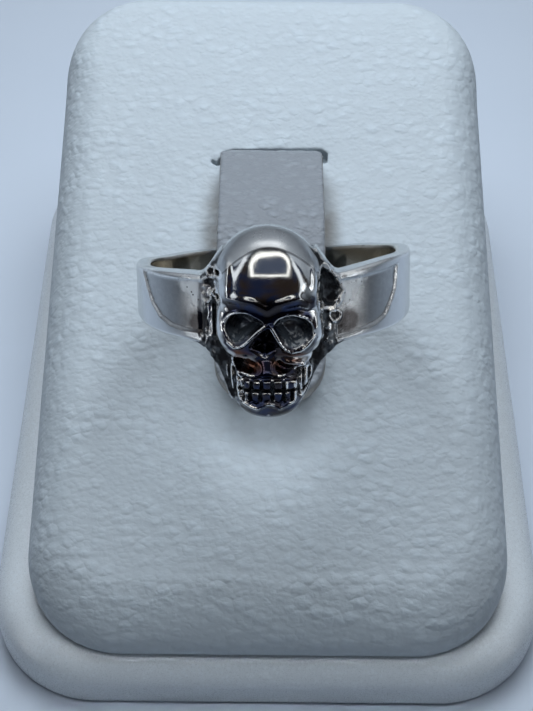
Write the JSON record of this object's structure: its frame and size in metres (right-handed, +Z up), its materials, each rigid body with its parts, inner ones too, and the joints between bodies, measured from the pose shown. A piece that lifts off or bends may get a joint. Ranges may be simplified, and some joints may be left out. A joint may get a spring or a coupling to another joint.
{
  "type": "skull ring on display stand",
  "caption": "Cast silver skull ring with blackened recesses, held by a leatherette clip on a sloped display pad over a rounded base.",
  "frame": {"origin": "middle of the base's footprint, on the surface that the stand rests on", "axes": "+Z up; +Y towards the raised back of the display pad; +X to the right as the skull faces the viewer"},
  "size_m": [0.0462, 0.062, 0.0384],
  "materials": {
    "base_leatherette": "smooth satin white leatherette",
    "pad_leatherette": "fine pebbled satin white leatherette",
    "clip_leatherette": "pebbled white leatherette with tan cut edges",
    "silver": "polished cast silver with blackened recesses"
  },
  "bodies": {
    "root": {"display_base": "base_leatherette", "display_pad": "pad_leatherette", "ring_clip": "clip_leatherette", "skull_ring": "silver"}
  },
  "joints": []
}
